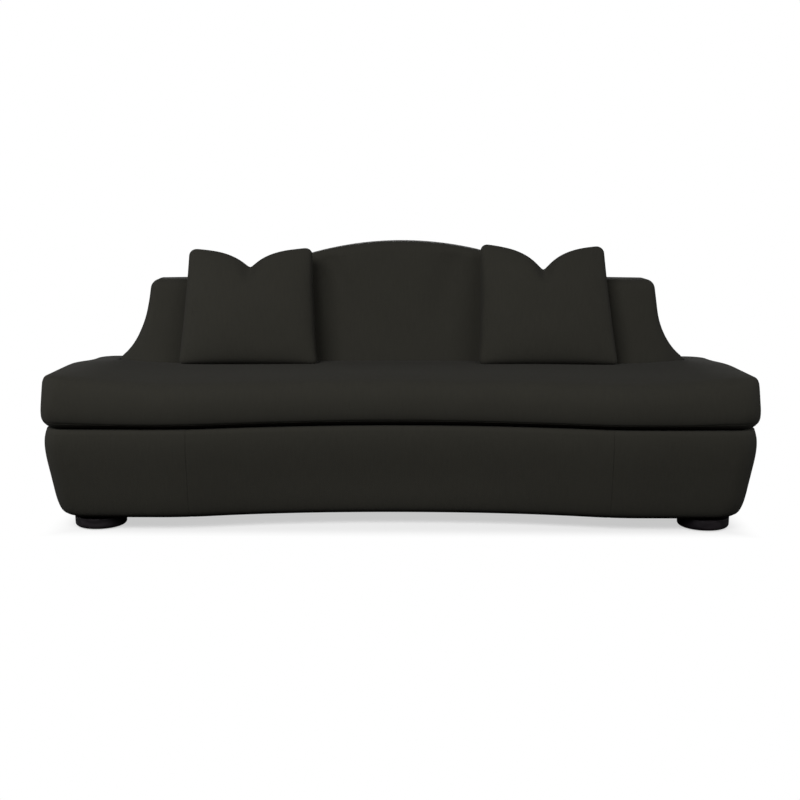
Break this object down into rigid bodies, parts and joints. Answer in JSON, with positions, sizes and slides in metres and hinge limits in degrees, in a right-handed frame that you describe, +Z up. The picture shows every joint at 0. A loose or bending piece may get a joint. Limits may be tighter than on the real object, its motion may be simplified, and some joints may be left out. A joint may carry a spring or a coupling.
{
  "type": "sofa",
  "caption": "Long sofa with a bowed-in tapered base, one loose bench cushion that wraps a low camel back, throw pillows with chopped tops and turned disc feet.",
  "frame": {"origin": "on the floor, under the middle of the sofa's bounding box", "axes": "+X along the sofa to the right as one faces it, +Z up, the front faces -Y"},
  "size_m": [2.286, 0.9649, 0.908],
  "materials": {
    "upholstery_cloth": "matte",
    "deck_cloth": "matte",
    "dust_cloth": "matte",
    "foam": "matte",
    "fibre_fill": "matte",
    "felt": "matte",
    "webbing": "matte",
    "ebony_stained_wood": "satin",
    "frame_wood": "matte",
    "plywood": "matte",
    "glide_plastic": "matte",
    "steel": "satin",
    "zip_tape": "matte",
    "zip_metal": "satin"
  },
  "bodies": {
    "frame": {"back_bottom_rail": "frame_wood", "back_cover_inside": "upholstery_cloth", "back_cover_outside": "upholstery_cloth", "back_foam": "foam", "back_outside_board": "plywood", "back_rib_centre": "plywood", "back_rib_inner_left": "plywood", "back_rib_inner_right": "plywood", "back_rib_middle_left": "plywood", "back_rib_middle_right": "plywood", "back_rib_outer_left": "plywood", "back_rib_outer_right": "plywood", "back_roll_foam": "foam", "back_top_rail": "frame_wood", "back_webbing": "webbing", "base_cover_front": "upholstery_cloth", "base_cover_left": "upholstery_cloth", "base_cover_rear": "upholstery_cloth", "base_cover_right": "upholstery_cloth", "base_formers": "plywood", "base_padding": "foam", "corner_blocks": "frame_wood", "cross_stretchers": "frame_wood", "deck_board": "plywood", "deck_cloth": "deck_cloth", "deck_felt": "felt", "deck_pad": "foam", "dust_cover": "dust_cloth", "foot_bolts": "steel", "foot_front_left": "ebony_stained_wood", "foot_front_right": "ebony_stained_wood", "foot_glides": "glide_plastic", "foot_rear_left": "ebony_stained_wood", "foot_rear_right": "ebony_stained_wood", "front_rail": "frame_wood", "left_end_rail": "frame_wood", "rear_beam": "frame_wood", "rear_rail": "frame_wood", "right_end_rail": "frame_wood", "seat_springs": "steel", "spring_clips": "steel", "spring_tie_wires": "steel"},
    "seat_cushion": {"seat_cushion_bottom_panel": "upholstery_cloth", "seat_cushion_boxing": "upholstery_cloth", "seat_cushion_core": "foam", "seat_cushion_top_panel": "upholstery_cloth", "seat_cushion_wrap": "fibre_fill", "seat_zip_chain": "zip_tape"},
    "left_pillow": {"left_pillow_cover": "upholstery_cloth", "left_pillow_fill": "fibre_fill", "left_pillow_zip_chain": "zip_tape"},
    "right_pillow": {"right_pillow_cover": "upholstery_cloth", "right_pillow_fill": "fibre_fill", "right_pillow_zip_chain": "zip_tape"},
    "seat_zip": {"seat_zip_slider": "zip_metal"},
    "left_pillow_zip": {"left_pillow_zip_slider": "zip_metal"},
    "right_pillow_zip": {"right_pillow_zip_slider": "zip_metal"}
  },
  "joints": [
    {"name": "seat_cushion_lift", "type": "slide", "parent": "frame", "child": "seat_cushion", "axis": [0, 0, 1], "range_m": [0, 0.4]},
    {"name": "left_pillow_lift", "type": "slide", "parent": "seat_cushion", "child": "left_pillow", "axis": [0, 0, 1], "range_m": [0, 0.5]},
    {"name": "right_pillow_lift", "type": "slide", "parent": "seat_cushion", "child": "right_pillow", "axis": [0, 0, 1], "range_m": [0, 0.5]},
    {"name": "seat_zip_run", "type": "hinge", "parent": "seat_cushion", "child": "seat_zip", "pos_m": [0, -5.23711, 0.4158], "axis": [0, 0, 1], "range_deg": [0, 11.49]},
    {"name": "left_pillow_zip_run", "type": "slide", "parent": "left_pillow", "child": "left_pillow_zip", "axis": [-1, 0, 0], "range_m": [0, 0.262]},
    {"name": "right_pillow_zip_run", "type": "slide", "parent": "right_pillow", "child": "right_pillow_zip", "axis": [-1, 0, 0], "range_m": [0, 0.262]}
  ]
}
